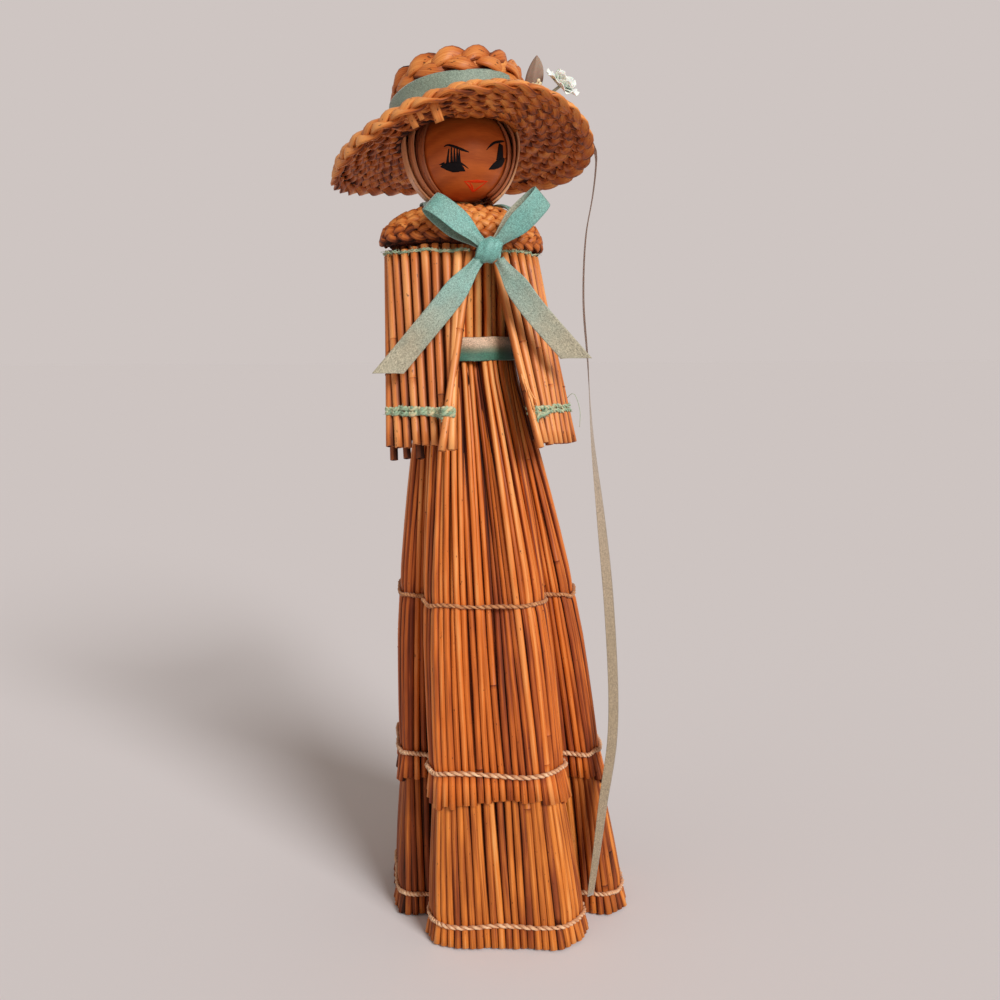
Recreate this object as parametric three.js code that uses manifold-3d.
// A standing doll of bundled and plaited straw, with a turned wooden bead for a head, ribbon ties and a hat.
// Millimetres, +Z up. She faces -Y, so her right arm is on -X. She stands on the cut ends of her underskirt.
import * as THREE from 'three';
import { mergeVertices } from 'three/addons/utils/BufferGeometryUtils.js';
import Module from 'manifold-3d';

const wasm = await Module();
wasm.setup();

// Fits
const CLEARANCE = 0.3; // gap kept between pieces that touch
const LEAN = 0.062; // how far her middle leans to her right for each millimetre of height

// Straw and thread
const SKIRT_STRAW = 2.05; // diameter
const SLEEVE_STRAW = 2.3; // diameter
const BODICE_STRAW = 2.3; // diameter
const TWINE = 1.1; // diameter of the cords sewn round the skirts
const YARN = 1.5; // diameter of the yarn round the sleeves
const RIBBON_WIDTH = 6.5;
const RIBBON_THICKNESS = 0.4;
const GATHERED_RIBBON = 1.4; // thickness of the ribbon where it is drawn together round the neck

// Skirts
const OVERSKIRT_HEM = 40; // above the floor
const LOWER_CORD_RISE = 9; // above the overskirt's hem
const UPPER_CORD_RISE = 55.5; // above the overskirt's hem
const UNDERSKIRT_CORD = 6.5; // above the floor
const FLARE_TOP = 161.5; // above the floor; the straws run straight up from here to the waist
const FLARE_STEADY = 0.47; // share of the flare that is lost at a steady rate on the way up
const FLARE_POWER = 2.5; // how late the rest of it is lost
const WAIST_TUCK = 3.5; // length of straw held under the waist ribbon
const WAIST_RADIUS = 12; // at the middle of the overskirt's straws
const STRAW_GROOVE = 0.15; // depth that two straws share, in straw radii from their middles
const STRAW_BACK = 0.8; // the mat's smooth inside, in straw radii from their middles
const PLEAT_GAP = 0.9; // between two pleats, at the hem
const TIE_GAP = 2; // between the two ends of a cord, at the back

// Plan of the hem: degrees from the front, turning towards her left, and radius. Folds part the four pleats.
const FRONT_PLEAT = [[-42, 31.5], [-31, 34.3], [0, 30.6], [28, 35], [45, 32]];
const LEFT_FOLD = [58, 24.5];
const LEFT_PLEAT = [[66, 33.5], [74, 36.2], [93, 35], [113, 35]];
const BACK_LEFT_FOLD = [128, 25];
const BACK_PLEAT = [[148, 34], [180, 32], [212, 34]];
const BACK_RIGHT_FOLD = [231, 25];
const RIGHT_PLEAT = [[245, 36.5], [268, 32.6], [286, 32.6], [295, 32]];
const RIGHT_FOLD = [303, 25];

// Upper body
const STICK_ASIDE = 1.3; // the stick and the head stand this far to her right of the waist's middle
const STICK_RADIUS = 2;
const STICK_FOOT = 21.5; // length of the stick below the top of the flare
const TWIST = 12; // degrees that the shoulders turn to her left
const BODICE_HALF_DEPTH = 9.2;
const BODICE_RISE = 28.5; // from the tops of the skirts to the yoke's edge
const YOKE_RISE = 11;
const YOKE_HALF_WIDTH = 23.2;
const YOKE_DEPTH_SHARE = 0.56; // its depth as a share of its width
const YOKE_NECK = 5; // half width of the neck hole
const BRAID = 2.8; // thickness of plaited straw
const BRAID_RIDGE = 0.45;

// Sleeves
const SHOULDER_INSET = 2.6; // of the straws' middles from the yoke's edge, at the sides
const SHOULDER_FRONT_INSET = 0.9; // the same at the front
const SLEEVE_SWING = 12; // degrees
const SWING_PIVOT = 10; // sideways from the middle of the body
const SLEEVE_LENGTH = 54.3; // from the yoke's edge to the cut ends
const STRAW_GAP = 0.2; // least gap between two straws of a sleeve
const STRAW_SLANT = 0.25; // room for the rim of a slanting straw, in straw diameters
const CUFF_WIDTH = 18.4;
const CUFF_DEPTH = 6.2;
const CUFF_YARN_RISE = 9.4; // above the ends of the straws
const SHOULDER_YARN_DROP = 3.6; // below the yoke
const FRONT_ARC = [18, 93]; // degrees round the shoulder from the front
const BACK_ARC = [107, 135];
const BACK_ROW = [0.96, 0.54]; // shares of the cuff's width, from its inner edge
const SLEEVES = [
  { side: 'right', sign: -1, cuff: [-10.3, -24.8], turn: 20 }, // from the middle of the body
  { side: 'left', sign: 1, cuff: [25.9, -15.6], turn: 58 },
];

// Head, hair and hat
const HEAD_RADIUS = 13;
const NECK_GAP = 0.5; // between the yoke and the head
const BORE_DEPTH = 14;
const HAIR = 2.8; // thickness
const HAIR_RIDGE = 0.5;
const HAIR_EDGE = { right: 70, left: 50 }; // degrees round from the front
const HAIR_TOP = 34; // degrees down from the crown of the head
const HAIR_BOTTOM = 146;
const HAT_TILT = 9.5; // degrees back
const HAT_ROLL = 7.5; // degrees up at her left
const BRIM_LIFT = 4.8; // of the brim's middle above the middle of the head
const BRIM_RADIUS = 36;
const BRIM_DROOP = 0.1; // fall for each millimetre outwards
const BRIM_SAG = 5.6; // further fall of the edge at her two sides
const BRIM_WARP = 2.6; // rise of the edge at her front left and back right, and fall between these
const BRIM_ROWS = 5;
const BRIM_LUMPS = 36; // that stand out round each row of its plait
const BAND_LIFT = 2.4; // of the ribbon above the brim
const CROWN_WALL = 9.5; // straight part of the crown
const CROWN_DOME = 11.8; // rounded part above it
const CROWN_ROWS = 5;
const CROWN_LUMPS = 18; // that stand out round each row of its plait

// Flower on the hat
const FLOWER_ROUND = 100; // degrees from the front, round the hat
const FLOWER_RISE = 5.6; // above the middle of the band
const FLOWER_STEM = 10.6; // out from the band
const FLOWER_FACES = new THREE.Vector3(0.75, -0.2, 0.63).normalize();
const FLOWER_EYE = 1.5; // radius
const STEM = 1.2; // diameter
const PETALS = 7;
const PETAL_LENGTH = 7.8;
const PETAL_WIDTH = 5;
const PETAL_THICKNESS = 1;
const PETAL_CURL = [14, 28]; // degrees that the petals rise, in turn
const LEAF_LENGTH = 11;
const LEAF_WIDTH = 4.4;
const LEAF_THICKNESS = 1;
const LEAF_ASIDE = 2.6; // from the stem
const LEAF_LEAN = 5; // of its tip, outwards

// Bow: the knot hangs in front of the yoke's edge, and the loops and tails run from the knot
const KNOT_ASIDE = 7.7; // to her left of the body's middle
const KNOT_FORWARD = 4.6; // of the yoke
const KNOT_DROP = 2.9; // below the yoke's edge
const KNOT_HALF = new THREE.Vector3(3.2, 2.3, 2.9);
const NECK_CLIMB = 58; // degrees up the yoke, where the ribbon passes behind the neck
const FRONT_CLIMB = 15; // the same at the knot
const NECK_EASE = 0.25; // slack of that ribbon on the yoke
const RIBBON_EDGE = 0.96; // share of the ribbon's half width that is full thickness
const GATHER = 0.45; // share of the ribbon's width that shows at the knot
const LOOP_LENGTH = 20;
const LOOP_OPENING = 2.3;
const LOOPS = [
  { side: 'right', runs: [-0.78, 0, 0.63], opens: [-0.25, 0.93, -0.28] },
  { side: 'left', runs: [0.71, 0.05, 0.7], opens: [0.3, 0.9, -0.32] },
];
const TAILS = [
  {
    side: 'right',
    route: [[-2.6, -0.6, -2.5], [-11.9, -4.9, -14.8], [-26.7, -5.4, -32.1]],
    width: [0.76, 0, -0.65],
  },
  {
    side: 'left',
    route: [[2.6, -0.6, -2.5], [11.2, -3, -15], [23.2, 0, -28.4]],
    width: [0.76, 0, 0.65],
  },
];

// The long ribbon from the hat
const STREAMER_WIDTH = 4.4;
const STREAMER_TAPER = [0.85, 2.4]; // share of its length where it starts to narrow, and how fast
const STREAMER_FACES = [92, 42]; // degrees from the front, at the hat and at its end
const STREAMER_TWIST = [0.3, 0.62]; // shares of its length between which it turns
// Along it from the hat: across, back, and up from the head's middle
const STREAMER_ROUTE = [
  [6.8, 9.2, 10], [10, 9.1, 7.9], [14.6, 8.2, 6.9], [18.4, 6, 6.1], [22.2, 4, 5.1],
  [24.8, 3.4, 3.9], [26.3, 3, 1], [26.3, 2.6, -3], [25.4, 1.8, -11], [23.6, 0.8, -21.5],
  [23, -0.6, -39.4], [24.3, -2, -56.2], [25.8, -4, -78.7], [28.1, -6, -101.5], [30, -9, -124],
  [31.2, -13, -152.5], [30.6, -15.4, -165.2], [28.2, -17.6, -180.6], [26.2, -18.2, -197],
  [24.6, -18.2, -209.6],
];

const CREAM = 0xd8cbb4;
const COLOURS = {
  skirt: 0xc0622b, hem: 0xb7672e, sleeve: 0xb0703f, braid: 0xa9602f, twine: 0xd9a06c, ribbon: 0x7da897,
  bead: 0xb2613a, hair: 0x6b3c28, yarn: 0x8fae96, stick: 0xb58a5a, leaf: 0x9d8268,
};

const doll = new THREE.Group();
const waistMiddle = -LEAN * FLARE_TOP;
const bodyMiddle = waistMiddle - STICK_ASIDE;
const skirtTop = FLARE_TOP + WAIST_TUCK;
const yokeBottom = skirtTop + BODICE_RISE;
const yokeDepth = YOKE_HALF_WIDTH * YOKE_DEPTH_SHARE;
const headHeight = yokeBottom + YOKE_RISE + NECK_GAP + HEAD_RADIUS;
const knot = new THREE.Vector3(bodyMiddle + KNOT_ASIDE, -yokeDepth - KNOT_FORWARD, yokeBottom - KNOT_DROP);
const head = new THREE.Group();
head.position.set(bodyMiddle, 0, headHeight);
doll.add(head);
const hat = new THREE.Group();
hat.rotation.set(THREE.MathUtils.degToRad(-HAT_TILT), THREE.MathUtils.degToRad(-HAT_ROLL), 0);
head.add(hat);

function vec(x, y, z) {
  return new THREE.Vector3(x, y, z);
}

function place(parent, name, geometry, colour, roughness = 0.7) {
  const material = new THREE.MeshStandardMaterial({ color: colour, roughness, metalness: 0 });
  const mesh = new THREE.Mesh(geometry, material);
  mesh.name = name;
  parent.add(mesh);
  return mesh;
}

// Triangles over a flat ring, in the ring's own order.
function cap(ring) {
  const normal = vec(0, 0, 0);
  ring.forEach((p, i) => normal.add(p.clone().cross(ring[(i + 1) % ring.length])));
  normal.normalize();
  const across = ring[1].clone().sub(ring[0]).projectOnPlane(normal).normalize();
  const up = normal.clone().cross(across);
  const flat = ring.map((p) => new THREE.Vector2(p.dot(across), p.dot(up)));
  return THREE.ShapeUtils.triangulateShape(flat, []);
}

// A closed body skinned over rings that have the same number of points.
function skin(rings) {
  const count = rings[0].length;
  const last = (rings.length - 1) * count;
  const index = [];
  for (let start = 0; start < last; start += count) {
    for (let i = 0; i < count; i++) {
      const a = start + i;
      const b = start + ((i + 1) % count);
      index.push(a, b, b + count, a, b + count, a + count);
    }
  }
  cap(rings[0]).forEach(([a, b, c]) => index.push(c, b, a));
  cap(rings.at(-1)).forEach(([a, b, c]) => index.push(last + a, last + b, last + c));
  const points = rings.flat();
  let volume = 0;
  for (let i = 0; i < index.length; i += 3) {
    volume += points[index[i]].dot(points[index[i + 1]].clone().cross(points[index[i + 2]]));
  }
  const geometry = new THREE.BufferGeometry().setFromPoints(points);
  return geometry.setIndex(volume < 0 ? index.reverse() : index);
}

// A round rod along a curve.
function rod(curve, diameter, sides, steps) {
  const section = new THREE.Shape().absarc(0, 0, diameter / 2, 0, 2 * Math.PI);
  const options = { extrudePath: curve, steps, curveSegments: sides / 2, bevelEnabled: false };
  return new THREE.ExtrudeGeometry(section, options);
}

// A flat ribbon along points. The width may change along it, and facing gives the way that the width runs.
function ribbon(points, steps, width, facing) {
  const curve = new THREE.CatmullRomCurve3(points);
  const edge = RIBBON_EDGE;
  const section = [[-1, 0], [-edge, -1], [0, -1], [edge, -1], [1, 0], [edge, 1], [0, 1], [-edge, 1]];
  const rings = [];
  for (let i = 0; i <= steps; i++) {
    const share = i / steps;
    const middle = curve.getPointAt(share);
    const along = curve.getTangentAt(share);
    const across = facing(share).projectOnPlane(along).normalize();
    const out = along.clone().cross(across);
    const half = width(share) / 2;
    rings.push(section.map(([a, b]) => middle.clone().addScaledVector(across, a * half)
      .addScaledVector(out, b * RIBBON_THICKNESS / 2)));
  }
  return skin(rings);
}

function ringBand(inner, thickness, bottom, height, segments) {
  const outer = inner + thickness;
  const top = bottom + height;
  const profile = [[inner, bottom], [outer, bottom], [outer, top], [inner, top], [inner, bottom]];
  return upright(new THREE.LatheGeometry(profile.map(([r, z]) => new THREE.Vector2(r, z)), segments));
}

// Lathes turn about Y, so they are stood up along Z.
function upright(geometry) {
  return geometry.rotateX(Math.PI / 2);
}

function solidOf(geometry) {
  const bare = geometry.clone().deleteAttribute('normal').deleteAttribute('uv');
  const merged = mergeVertices(bare);
  return new wasm.Manifold(new wasm.Mesh({
    numProp: 3,
    vertProperties: merged.attributes.position.array,
    triVerts: new Uint32Array(merged.index.array),
  }));
}

function fuse(geometries) {
  const mesh = geometries.map(solidOf).reduce((a, b) => a.add(b)).getMesh();
  const geometry = new THREE.BufferGeometry();
  geometry.setAttribute('position', new THREE.BufferAttribute(mesh.vertProperties, 3));
  return geometry.setIndex(new THREE.BufferAttribute(mesh.triVerts, 1));
}

// The skirts' common plan, as a closed curve round the hem.
const hemPlan = [
  ...FRONT_PLEAT, LEFT_FOLD, ...LEFT_PLEAT, BACK_LEFT_FOLD,
  ...BACK_PLEAT, BACK_RIGHT_FOLD, ...RIGHT_PLEAT, RIGHT_FOLD,
];
const hemCurve = new THREE.CatmullRomCurve3(hemPlan.map(([degrees, radius]) => {
  const turn = THREE.MathUtils.degToRad(degrees);
  return vec(radius * Math.sin(turn), -radius * Math.cos(turn), 0);
}), true);

function planPlace(point) {
  return hemPlan.indexOf(point) / hemPlan.length;
}

// Share of the flare that is left at a height: all of it on the floor, none at the waist.
function flare(height) {
  const climb = Math.min(height / FLARE_TOP, 1);
  return 1 - FLARE_STEADY * climb - (1 - FLARE_STEADY) * climb ** FLARE_POWER;
}

function skirtMiddle(spot, height) {
  const hem = hemCurve.getPoint(((spot % 1) + 1) % 1);
  const radius = WAIST_RADIUS + (hem.length() - WAIST_RADIUS) * flare(height);
  return hem.setLength(radius).add(vec(-LEAN * height, 0, height));
}

function skirtPoint(spot, height, out) {
  const step = 0.002;
  const along = skirtMiddle(spot + step, height).sub(skirtMiddle(spot - step, height)).normalize();
  return skirtMiddle(spot, height).add(vec(along.y, -along.x, 0).multiplyScalar(out));
}

// The underskirt lies one straw inside the overskirt, and comes out to the plan at the floor.
const underskirtInset = SKIRT_STRAW + CLEARANCE;

function inset(height) {
  return underskirtInset * Math.min(height / OVERSKIRT_HEM, 1);
}

// Spots at equal distances along the hem between two folds.
function strawSpots(from, to, height) {
  const samples = 160;
  const spots = Array.from({ length: samples + 1 }, (_, i) => from + (to - from) * (i / samples));
  const points = spots.map((spot) => skirtMiddle(spot, height));
  const runs = [0];
  for (let i = 1; i <= samples; i++) {
    runs.push(runs[i - 1] + points[i].distanceTo(points[i - 1]));
  }
  const length = runs[samples] - PLEAT_GAP;
  const straws = Math.round(length / SKIRT_STRAW);
  return Array.from({ length: straws + 1 }, (_, i) => {
    const run = PLEAT_GAP / 2 + (length * i) / straws;
    const next = runs.findIndex((r) => r >= run);
    const part = (run - runs[next - 1]) / (runs[next] - runs[next - 1]);
    return spots[next - 1] + (spots[next] - spots[next - 1]) * part;
  });
}

// One row of straws side by side, fused where they touch, from the hem to the waist.
function strawMat(spots, heights, insetAt) {
  const half = SKIRT_STRAW / 2;
  const inside = spots.filter((_, i) => i % 2 === 0 || i === spots.length - 1).reverse();
  return skin(heights.map((height) => {
    const ring = [];
    const middle = -insetAt(height);
    spots.slice(0, -1).forEach((spot, i) => {
      ring.push(skirtPoint(spot, height, middle + STRAW_GROOVE * half));
      ring.push(skirtPoint((spot + spots[i + 1]) / 2, height, middle + half));
    });
    ring.push(skirtPoint(spots.at(-1), height, middle + STRAW_GROOVE * half));
    inside.forEach((spot) => ring.push(skirtPoint(spot, height, middle - STRAW_BACK * half)));
    return ring;
  }));
}

function skirts() {
  const folds = [RIGHT_FOLD, LEFT_FOLD, BACK_LEFT_FOLD, BACK_RIGHT_FOLD].map(planPlace);
  const sides = ['front', 'left', 'back', 'right'];
  sides.forEach((side, i) => {
    const from = i === 0 ? folds[0] - 1 : folds[i];
    const to = i === sides.length - 1 ? folds[0] : folds[i + 1];
    const overHeights = [OVERSKIRT_HEM, OVERSKIRT_HEM + UPPER_CORD_RISE, FLARE_TOP, skirtTop];
    const over = strawMat(strawSpots(from, to, OVERSKIRT_HEM), overHeights, () => 0);
    place(doll, `overskirt_${side}_pleat`, over, COLOURS.skirt, 0.55);
    const under = strawMat(strawSpots(from, to, 0), [0, ...overHeights], inset);
    place(doll, `underskirt_${side}_pleat`, under, COLOURS.hem, 0.55);
  });
}

// A cord sewn round a skirt, with its two ends meeting at the back.
function skirtCord(height, middle) {
  const steps = 68;
  const back = planPlace(BACK_PLEAT[1]);
  const gap = TIE_GAP / hemCurve.getLength();
  const out = middle + SKIRT_STRAW / 2 + CLEARANCE + TWINE / 2;
  const points = Array.from({ length: steps + 1 }, (_, i) => {
    const share = gap / 2 + (1 - gap) * (i / steps);
    return skirtPoint(back + share, height, out);
  });
  return rod(new THREE.CatmullRomCurve3(points), TWINE, 4, steps);
}

function cords() {
  const upper = skirtCord(OVERSKIRT_HEM + UPPER_CORD_RISE, 0);
  const lower = skirtCord(OVERSKIRT_HEM + LOWER_CORD_RISE, 0);
  const under = skirtCord(UNDERSKIRT_CORD, -inset(UNDERSKIRT_CORD));
  place(doll, 'overskirt_upper_cord', upper, COLOURS.twine);
  place(doll, 'overskirt_lower_cord', lower, COLOURS.twine);
  place(doll, 'underskirt_cord', under, COLOURS.twine);
}

// The ribbon round the waist holds the tops of the skirts and the foot of the bodice.
function waist() {
  const inner = WAIST_RADIUS + SKIRT_STRAW / 2 + CLEARANCE;
  const band = ringBand(inner, RIBBON_THICKNESS, 0, RIBBON_WIDTH, 40);
  const mesh = place(doll, 'waist_ribbon', band, COLOURS.ribbon, 0.6);
  mesh.position.set(waistMiddle, 0, FLARE_TOP + CLEARANCE);
}

function yokeProfile(neck, halfWidth, rise) {
  const steps = 5;
  return Array.from({ length: steps + 1 }, (_, i) => {
    const turn = (Math.PI / 2) * (i / steps);
    return new THREE.Vector2(neck + (halfWidth - neck) * Math.cos(turn), rise * Math.sin(turn));
  });
}

// Height of the yoke's inside above its lower edge, at a half width. Past its inside there is none.
function yokeInside(halfWidth) {
  const share = Math.max(0, halfWidth - YOKE_NECK) / (YOKE_HALF_WIDTH - BRAID - YOKE_NECK);
  return (YOKE_RISE - BRAID) * Math.sqrt(Math.max(0, 1 - share ** 2));
}

function yoke() {
  const outer = yokeProfile(YOKE_NECK, YOKE_HALF_WIDTH, YOKE_RISE);
  const ridged = outer.flatMap((p, i) => {
    const next = outer[i + 1];
    if (!next) return [p];
    const valley = p.clone().add(next).multiplyScalar(0.5);
    return [p, valley.multiplyScalar(1 - BRAID_RIDGE / YOKE_HALF_WIDTH)];
  });
  const inner = yokeProfile(YOKE_NECK, YOKE_HALF_WIDTH - BRAID, YOKE_RISE - BRAID).reverse();
  const geometry = upright(new THREE.LatheGeometry([...ridged, ...inner, outer[0]], 30));
  const mesh = place(doll, 'shoulder_yoke', geometry, COLOURS.braid);
  mesh.scale.set(1, YOKE_DEPTH_SHARE, 1);
  mesh.rotation.z = THREE.MathUtils.degToRad(TWIST);
  mesh.position.set(bodyMiddle, 0, yokeBottom);
}

// A bundle of straws round the stick, as wide as the tops of the skirts, from the waist up into the yoke.
function bodice() {
  const halfWidth = WAIST_RADIUS;
  const straws = Math.round(Math.PI * (halfWidth + BODICE_HALF_DEPTH) / BODICE_STRAW);
  const groove = BODICE_STRAW / 4;
  const twist = THREE.MathUtils.degToRad(TWIST);
  const stick = new THREE.Vector2(-STICK_ASIDE * Math.cos(twist), STICK_ASIDE * Math.sin(twist));
  const points = Array.from({ length: 3 * straws }, (_, i) => {
    const turn = (2 * Math.PI * i) / (3 * straws);
    const dip = i % 3 === 0 ? groove : 0;
    return new THREE.Vector2((halfWidth - dip) * Math.cos(turn), (BODICE_HALF_DEPTH - dip) * Math.sin(turn));
  });
  const outline = new THREE.Shape(points);
  const bore = STICK_RADIUS + CLEARANCE;
  outline.holes.push(new THREE.Path().absarc(stick.x, stick.y, bore, 0, 2 * Math.PI, true));
  const reach = Math.max(...points.map((p) => Math.hypot(p.x - stick.x, (p.y - stick.y) / YOKE_DEPTH_SHARE)));
  const bottom = skirtTop + CLEARANCE;
  const top = yokeBottom + yokeInside(reach) - 2 * CLEARANCE;
  const options = { depth: top - bottom, bevelEnabled: false, curveSegments: 6 };
  const bundle = new THREE.ExtrudeGeometry(outline, options);
  const mesh = place(doll, 'bodice_straws', bundle, COLOURS.skirt, 0.55);
  mesh.rotation.z = twist;
  mesh.position.set(waistMiddle, 0, bottom);
}

// The stick that carries the bodice, yoke and head.
function stick() {
  const bottom = FLARE_TOP - STICK_FOOT;
  const length = headHeight - HEAD_RADIUS + BORE_DEPTH - CLEARANCE - bottom;
  const geometry = upright(new THREE.CylinderGeometry(STICK_RADIUS, STICK_RADIUS, length, 12));
  place(doll, 'core_stick', geometry, COLOURS.stick).position.set(bodyMiddle, 0, bottom + length / 2);
}

// The line along which a sleeve's straws hang under the yoke.
function shoulderLine(arc) {
  const [from, to] = arc.map((degrees) => THREE.MathUtils.degToRad(degrees - 90));
  const halfWidth = YOKE_HALF_WIDTH - SHOULDER_INSET;
  const halfDepth = yokeDepth - SHOULDER_FRONT_INSET;
  return new THREE.EllipseCurve(0, 0, halfWidth, halfDepth, from, to);
}

// A place on that line, with the way out from the body there.
function shoulderPlace(line, share, sign, height) {
  const at = line.getPointAt(share);
  const out = vec(sign * at.x / line.xRadius ** 2, at.y / line.yRadius ** 2, 0).normalize();
  const turn = THREE.MathUtils.degToRad(TWIST);
  const top = vec(sign * at.x, at.y, height).applyAxisAngle(vec(0, 0, 1), turn).add(vec(bodyMiddle, 0, 0));
  return { top, out: out.applyAxisAngle(vec(0, 0, 1), turn) };
}

// Each straw of a sleeve as its top and its cut end.
// The tops are lowest outside, so that the sleeve can swing.
function sleeveStraws({ sign, cuff, turn }) {
  const radians = THREE.MathUtils.degToRad(turn);
  const outwards = vec(sign * Math.cos(radians), Math.sin(radians), 0);
  const inwards = vec(-sign * Math.sin(radians), Math.cos(radians), 0);
  const pivot = bodyMiddle + sign * SWING_PIVOT;
  const fall = Math.sin(THREE.MathUtils.degToRad(SLEEVE_SWING));
  const highest = yokeBottom - CLEARANCE - STRAW_SLANT * SLEEVE_STRAW;
  const row = (arc, [from, to], back) => {
    const line = shoulderLine(arc);
    const span = shoulderPlace(line, 1, sign, 0).top.sub(shoulderPlace(line, 0, sign, 0).top);
    const cuffSpan = outwards.clone().multiplyScalar((to - from) * CUFF_WIDTH);
    const narrowest = new THREE.Line3(span, cuffSpan).closestPointToPoint(vec(), true, vec()).length();
    const gaps = Math.max(1, Math.floor(narrowest / (SLEEVE_STRAW + STRAW_GAP)));
    return Array.from({ length: gaps + 1 }, (_, i) => {
      const share = i / gaps;
      const { top, out } = shoulderPlace(line, share, sign, highest);
      top.z -= fall * Math.max(0, sign * (top.x - pivot) + SLEEVE_STRAW / 2);
      const end = vec(bodyMiddle + cuff[0], cuff[1], yokeBottom - SLEEVE_LENGTH)
        .addScaledVector(outwards, (THREE.MathUtils.lerp(from, to, share) - 0.5) * CUFF_WIDTH)
        .addScaledVector(inwards, back * CUFF_DEPTH);
      return { top, end, out };
    });
  };
  return [...row(FRONT_ARC, [0, 1], 0), ...row(BACK_ARC, BACK_ROW, 1)];
}

function onStraw({ top, end }, height) {
  return top.clone().lerp(end, (top.z - height) / (top.z - end.z));
}

// The outermost of a set of points, in order round them.
function hull(points) {
  const sorted = [...points].sort((a, b) => a.x - b.x || a.y - b.y);
  const turn = (a, b, c) => (b.x - a.x) * (c.y - a.y) - (b.y - a.y) * (c.x - a.x);
  const chain = (list) => {
    const kept = [];
    list.forEach((p) => {
      while (kept.length > 1 && turn(kept.at(-2), kept.at(-1), p) <= 0) kept.pop();
      kept.push(p);
    });
    return kept.slice(0, -1);
  };
  return [...chain(sorted), ...chain(sorted.toReversed())];
}

function cuffYarn(straws, sign) {
  const height = yokeBottom - SLEEVE_LENGTH + CUFF_YARN_RISE;
  const out = SLEEVE_STRAW / 2 + CLEARANCE + YARN / 2;
  const sides = 12;
  const round = straws.flatMap((straw) => Array.from({ length: sides }, (_, i) => {
    const turn = (2 * Math.PI * i) / sides;
    return onStraw(straw, height).add(vec(out * Math.cos(turn), out * Math.sin(turn), 0));
  }));
  const outline = hull(round);
  const curve = new THREE.CatmullRomCurve3(outline, true);
  const innermost = outline.reduce((best, p, i) => (sign * p.x < sign * outline[best].x ? i : best), 0);
  const start = innermost / outline.length;
  const gap = TIE_GAP / curve.getLength();
  const steps = 24;
  const points = Array.from({ length: steps + 1 }, (_, i) => {
    const share = gap / 2 + (1 - gap) * (i / steps);
    return curve.getPoint((start + share) % 1);
  });
  return rod(new THREE.CatmullRomCurve3(points), YARN, 4, 32);
}

function shoulderYarn(straws) {
  const height = yokeBottom - SHOULDER_YARN_DROP;
  const out = SLEEVE_STRAW / 2 + CLEARANCE + YARN / 2;
  const points = straws.map((straw) => onStraw(straw, height).addScaledVector(straw.out, out));
  return rod(new THREE.CatmullRomCurve3(points), YARN, 4, 24);
}

function sleeves() {
  SLEEVES.forEach((sleeve) => {
    const straws = sleeveStraws(sleeve);
    straws.forEach((straw, i) => {
      const number = String(i + 1).padStart(2, '0');
      const geometry = rod(new THREE.LineCurve3(straw.top, straw.end), SLEEVE_STRAW, 8, 1);
      place(doll, `${sleeve.side}_sleeve_straw_${number}`, geometry, COLOURS.sleeve, 0.5);
    });
    place(doll, `${sleeve.side}_cuff_yarn`, cuffYarn(straws, sleeve.sign), COLOURS.yarn, 0.9);
    place(doll, `${sleeve.side}_shoulder_yarn`, shoulderYarn(straws), COLOURS.yarn, 0.9);
  });
}

// The bead has a blind bore underneath, which turns on the stick.
function bead() {
  const bore = STICK_RADIUS + CLEARANCE;
  const boreTop = BORE_DEPTH - HEAD_RADIUS;
  const steps = 11;
  const start = Math.asin(bore / HEAD_RADIUS);
  const profile = [new THREE.Vector2(0, boreTop), new THREE.Vector2(bore, boreTop)];
  for (let i = 0; i <= steps; i++) {
    const turn = start + (Math.PI - start) * (i / steps);
    profile.push(new THREE.Vector2(HEAD_RADIUS * Math.sin(turn), -HEAD_RADIUS * Math.cos(turn)));
  }
  profile.at(-1).x = 0;
  place(head, 'head_bead', upright(new THREE.LatheGeometry(profile, 26)), COLOURS.bead, 0.4);
}

// Half a head of hair: strands side by side from the temple to the middle of the back.
function hairHalf(side, sign) {
  const strands = 8;
  const rows = 6;
  const rings = [];
  const seam = 178;
  for (let i = 0; i <= 2 * strands; i++) {
    const degrees = THREE.MathUtils.lerp(HAIR_EDGE[side], seam, i / (2 * strands));
    const round = THREE.MathUtils.degToRad(degrees + sign * TWIST);
    const outer = HEAD_RADIUS + HAIR - (i % 2 ? 0 : HAIR_RIDGE);
    const arc = (radius) => Array.from({ length: rows + 1 }, (_, j) => {
      const down = THREE.MathUtils.degToRad(THREE.MathUtils.lerp(HAIR_TOP, HAIR_BOTTOM, j / rows));
      const flat = radius * Math.sin(down);
      return vec(sign * flat * Math.sin(round), -flat * Math.cos(round), radius * Math.cos(down));
    });
    rings.push([...arc(outer), ...arc(HEAD_RADIUS + CLEARANCE).reverse()]);
  }
  place(head, `hair_${side}`, skin(rings), COLOURS.hair, 0.6);
}

// The brim's lower edge rests round the hair.
const hatInside = Math.sqrt((HEAD_RADIUS + HAIR) ** 2 - (BRIM_LIFT - BRAID / 2) ** 2) + CLEARANCE;
const hatOutside = hatInside + BRAID;
const brimTop = BRIM_LIFT + BRAID / 2 + BRAID_RIDGE;

// A plaited body turned from two profiles, which take turns round it and from each row of plait to the next.
// Lumps and hollows then follow each other along the rows.
function plaited(high, low, lumps) {
  const columns = 2 * Math.round(lumps);
  const geometry = new THREE.LatheGeometry(high, columns);
  const points = geometry.attributes.position;
  for (let i = 0; i < points.count; i++) {
    const row = i % high.length;
    const column = Math.floor(i / high.length);
    if ((column + Math.floor(row / 2)) % 2) {
      const turn = (2 * Math.PI * column) / columns;
      points.setXYZ(i, low[row].x * Math.sin(turn), low[row].y, low[row].x * Math.cos(turn));
    }
  }
  return upright(geometry);
}

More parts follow.
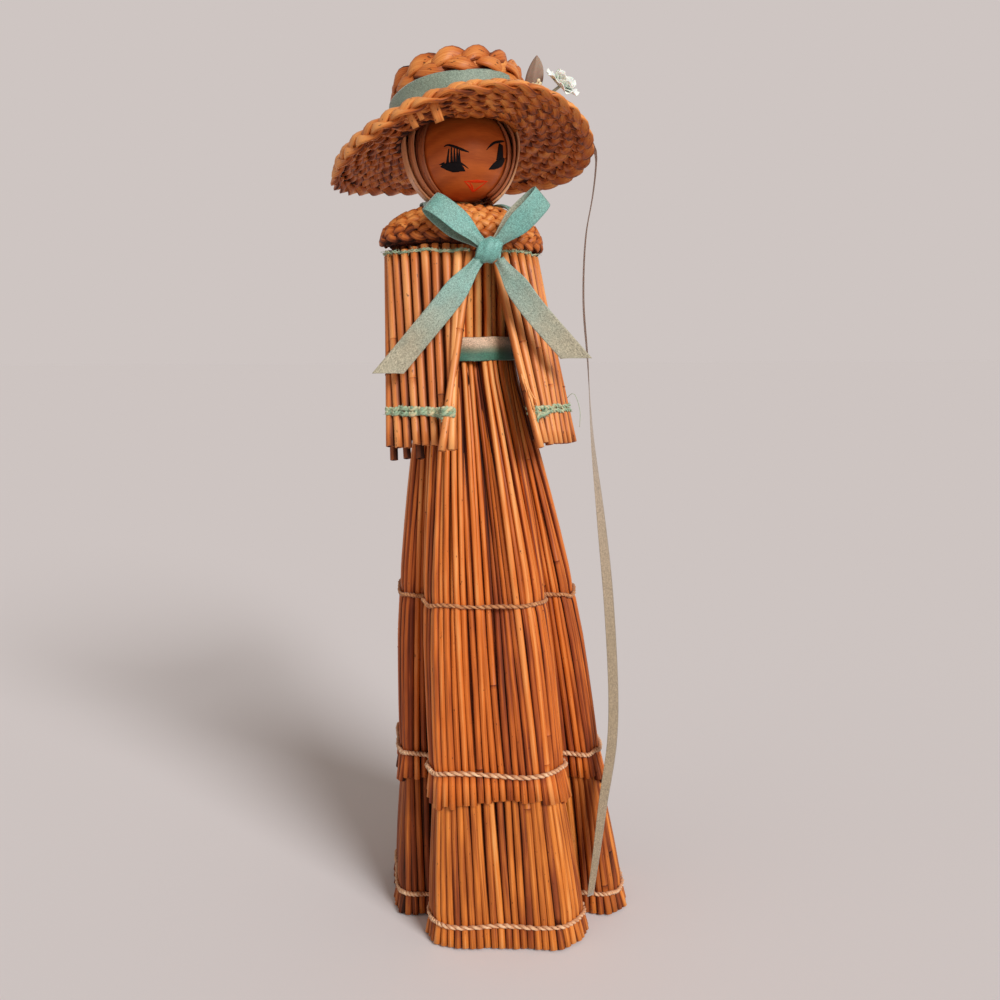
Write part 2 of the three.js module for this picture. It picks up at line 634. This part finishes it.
// The brim's plaited rows show on both faces, and its edge hangs lower at her two sides.
function brim() {
  const steps = 2 * BRIM_ROWS;
  const face = (side, ridge) => Array.from({ length: steps + 1 }, (_, i) => {
    const radius = THREE.MathUtils.lerp(hatInside, BRIM_RADIUS, i / steps);
    const out = i % 2 ? ridge : 0;
    const fall = BRIM_DROOP * Math.max(0, radius - hatOutside);
    return new THREE.Vector2(radius, BRIM_LIFT - fall + side * (BRAID / 2 + out));
  });
  const profile = (ridge) => {
    const lower = face(-1, ridge);
    return [...lower, ...face(1, ridge).reverse(), lower[0]];
  };
  const geometry = plaited(profile(BRAID_RIDGE), profile(-BRAID_RIDGE), BRIM_LUMPS);
  const points = geometry.attributes.position;
  for (let i = 0; i < points.count; i++) {
    const [x, y] = [points.getX(i), points.getY(i)];
    const outwards = Math.max(0, Math.hypot(x, y) - hatOutside) / (BRIM_RADIUS - hatOutside);
    const fall = (BRIM_SAG * x ** 2 + BRIM_WARP * 2 * x * y) / BRIM_RADIUS ** 2;
    points.setZ(i, points.getZ(i) - outwards * fall);
  }
  place(hat, 'hat_brim', geometry, COLOURS.braid);
}

// The crown sits on the brim: a straight wall under the band, then rows of plait up to a smooth middle.
function crown() {
  const bottom = brimTop + CLEARANCE;
  const wallTop = bottom + CROWN_WALL;
  const dome = (radius, rise, steps, ridge) => Array.from({ length: steps + 1 }, (_, i) => {
    const turn = (Math.PI / 2) * (i / steps);
    const out = i % 2 && i < steps - 1 ? ridge : 0;
    return new THREE.Vector2((radius + out) * Math.cos(turn), wallTop + (rise + out) * Math.sin(turn));
  });
  const inner = dome(hatInside, CROWN_DOME - BRAID, CROWN_ROWS, 0).reverse();
  inner[0].x = 0;
  const walls = [new THREE.Vector2(hatInside, bottom), new THREE.Vector2(hatOutside, bottom)];
  const profile = (ridge) => {
    const outer = dome(hatOutside, CROWN_DOME, 2 * CROWN_ROWS, ridge);
    outer.at(-1).x = 0;
    return [...inner, ...walls, ...outer];
  };
  place(hat, 'hat_crown', plaited(profile(BRAID_RIDGE), profile(-BRAID_RIDGE), CROWN_LUMPS), COLOURS.braid);
}

function hatBand() {
  const band = ringBand(hatOutside + CLEARANCE, RIBBON_THICKNESS, brimTop + BAND_LIFT, RIBBON_WIDTH, 36);
  place(hat, 'hat_band', band, COLOURS.ribbon, 0.6);
}

// A cloth flower on a short stem, and one leaf, tucked behind the band.
function flower() {
  const spray = new THREE.Group();
  const round = THREE.MathUtils.degToRad(FLOWER_ROUND);
  const away = hatOutside + RIBBON_THICKNESS + 2 * CLEARANCE;
  spray.position.set(away * Math.sin(round), -away * Math.cos(round), brimTop + BAND_LIFT + RIBBON_WIDTH / 2);
  spray.rotation.z = round - Math.PI / 2;
  hat.add(spray);
  const middle = vec(FLOWER_STEM, 0, FLOWER_RISE);
  const facing = new THREE.Quaternion().setFromUnitVectors(vec(0, 0, 1), FLOWER_FACES);
  const pieces = Array.from({ length: PETALS }, (_, i) => {
    const curl = THREE.MathUtils.degToRad(PETAL_CURL[i % 2]);
    const petal = new THREE.SphereGeometry(0.5, 7, 5).scale(PETAL_LENGTH, PETAL_WIDTH, PETAL_THICKNESS);
    petal.translate(PETAL_LENGTH / 2, 0, 0).rotateY(-curl).rotateZ((2 * Math.PI * i) / PETALS);
    return petal.applyQuaternion(facing).translate(...middle);
  });
  pieces.push(new THREE.SphereGeometry(FLOWER_EYE, 8, 5).translate(...middle));
  const bend = vec(FLOWER_STEM / 2, 0, FLOWER_RISE / 3);
  const stem = new THREE.CatmullRomCurve3([vec(STEM / 2, 0, 0), bend, middle]);
  pieces.push(rod(stem, STEM, 6, 5));
  place(spray, 'flower', fuse(pieces), CREAM, 0.8);
  const rings = 8;
  const thick = LEAF_THICKNESS / 2;
  const leaf = Array.from({ length: rings + 1 }, (_, i) => {
    const share = i / rings;
    const half = (LEAF_WIDTH / 2) * Math.sin(Math.PI * THREE.MathUtils.lerp(0.08, 0.94, share));
    const at = vec(thick + LEAF_LEAN * share, LEAF_ASIDE, LEAF_LENGTH * share);
    return [vec(0, -half, 0), vec(thick, 0, 0), vec(0, half, 0), vec(-thick, 0, 0)].map((p) => p.add(at));
  });
  place(spray, 'flower_leaf', skin(leaf), COLOURS.leaf, 0.8);
}

function streamer() {
  const route = STREAMER_ROUTE.map(([x, y, rise]) => vec(x, y, headHeight + rise));
  const [narrows, rate] = STREAMER_TAPER;
  const slope = Math.tan(THREE.MathUtils.degToRad(HAT_TILT));
  const width = (share) => STREAMER_WIDTH * (1 - rate * Math.max(0, share - narrows));
  const facing = (share) => {
    const turned = THREE.MathUtils.smoothstep(share, ...STREAMER_TWIST);
    const turn = THREE.MathUtils.degToRad(THREE.MathUtils.lerp(...STREAMER_FACES, turned));
    return vec(Math.cos(turn), Math.sin(turn), -slope);
  };
  place(doll, 'hat_streamer', ribbon(route, 42, width, facing), CREAM, 0.6);
}

// Share of the ribbon's width at a distance from the knot, which gathers it.
function gathered(share, opens) {
  return THREE.MathUtils.lerp(GATHER, 1, THREE.MathUtils.smoothstep(share, 0, opens));
}

// One loop of the bow, out from the knot and back behind itself.
function bowLoop({ side, runs, opens }) {
  const direction = vec(...runs).normalize();
  const openTo = vec(...opens).normalize();
  const start = KNOT_HALF.x + 2 * CLEARANCE;
  const half = [[0, 0.45], [0.3, 0.9], [0.7, 1], [0.93, 0.6]];
  const shape = [...half.map(([along, open]) => [along, -open]), [1, 0], ...half.toReversed()];
  const points = shape.map(([along, open]) => knot.clone()
    .addScaledVector(direction, THREE.MathUtils.lerp(start, LOOP_LENGTH, along))
    .addScaledVector(openTo, open * LOOP_OPENING));
  const across = direction.clone().cross(openTo);
  const width = (share) => RIBBON_WIDTH * gathered(0.5 - Math.abs(share - 0.5), 0.25);
  place(doll, `bow_loop_${side}`, ribbon(points, 26, width, () => across.clone()), COLOURS.ribbon, 0.6);
}

function bowTail({ side, route, width }) {
  const points = route.map((offset) => knot.clone().add(vec(...offset)));
  const widthAt = (share) => RIBBON_WIDTH * gathered(share, 0.3);
  place(doll, `bow_tail_${side}`, ribbon(points, 12, widthAt, () => vec(...width)), COLOURS.ribbon, 0.6);
}

// The ribbon round the neck lies on the yoke, low in front, where its ends go into the knot.
function neckRibbon() {
  const lift = CLEARANCE + GATHERED_RIBBON / 2;
  const turnOfYoke = THREE.MathUtils.degToRad(TWIST);
  const local = vec(knot.x - bodyMiddle, knot.y, 0).applyAxisAngle(vec(0, 0, 1), -turnOfYoke);
  const front = Math.atan2(local.x, -local.y / YOKE_DEPTH_SHARE);
  const opening = THREE.MathUtils.degToRad(20);
  const steps = 16;
  const behindKnot = vec(KNOT_HALF.x / 2, KNOT_HALF.y + lift, KNOT_HALF.z / 2);
  const round = Array.from({ length: steps + 1 }, (_, i) => {
    const away = THREE.MathUtils.lerp(opening, 2 * Math.PI - opening, i / steps);
    const low = Math.max(0, Math.cos(away)) ** 3;
    const climb = THREE.MathUtils.degToRad(THREE.MathUtils.lerp(NECK_CLIMB, FRONT_CLIMB, low));
    const flat = YOKE_NECK + (YOKE_HALF_WIDTH - YOKE_NECK) * Math.cos(climb);
    const turn = front + away;
    const deep = flat * YOKE_DEPTH_SHARE;
    const at = vec(flat * Math.sin(turn), -deep * Math.cos(turn), YOKE_RISE * Math.sin(climb));
    const out = vec(Math.sin(turn) * Math.cos(climb), -Math.cos(turn) * Math.cos(climb), Math.sin(climb));
    at.addScaledVector(out, NECK_EASE + lift);
    return at.applyAxisAngle(vec(0, 0, 1), turnOfYoke).add(vec(bodyMiddle, 0, yokeBottom));
  });
  const mirrored = behindKnot.clone().setX(-behindKnot.x);
  const points = [knot.clone().add(behindKnot), ...round, knot.clone().add(mirrored)];
  const curve = new THREE.CatmullRomCurve3(points);
  place(doll, 'neck_ribbon', rod(curve, GATHERED_RIBBON, 6, 40), COLOURS.ribbon, 0.6);
}

function bow() {
  const geometry = new THREE.SphereGeometry(1, 14, 10).scale(...KNOT_HALF);
  place(doll, 'bow_knot', geometry, COLOURS.ribbon, 0.6).position.copy(knot);
  LOOPS.forEach(bowLoop);
  TAILS.forEach(bowTail);
}

skirts();
cords();
waist();
bodice();
yoke();
stick();
sleeves();
neckRibbon();
bow();
bead();
hairHalf('right', -1);
hairHalf('left', 1);
brim();
crown();
hatBand();
flower();

// The origin is on the floor, under the middle of the doll's box without her long ribbon.
const box = new THREE.Box3().setFromObject(doll, true);
const middle = box.getCenter(vec(0, 0, 0));
doll.position.set(-middle.x, -middle.y, -box.min.z);
streamer();

const part = new THREE.Group();
part.add(doll);
export default part;
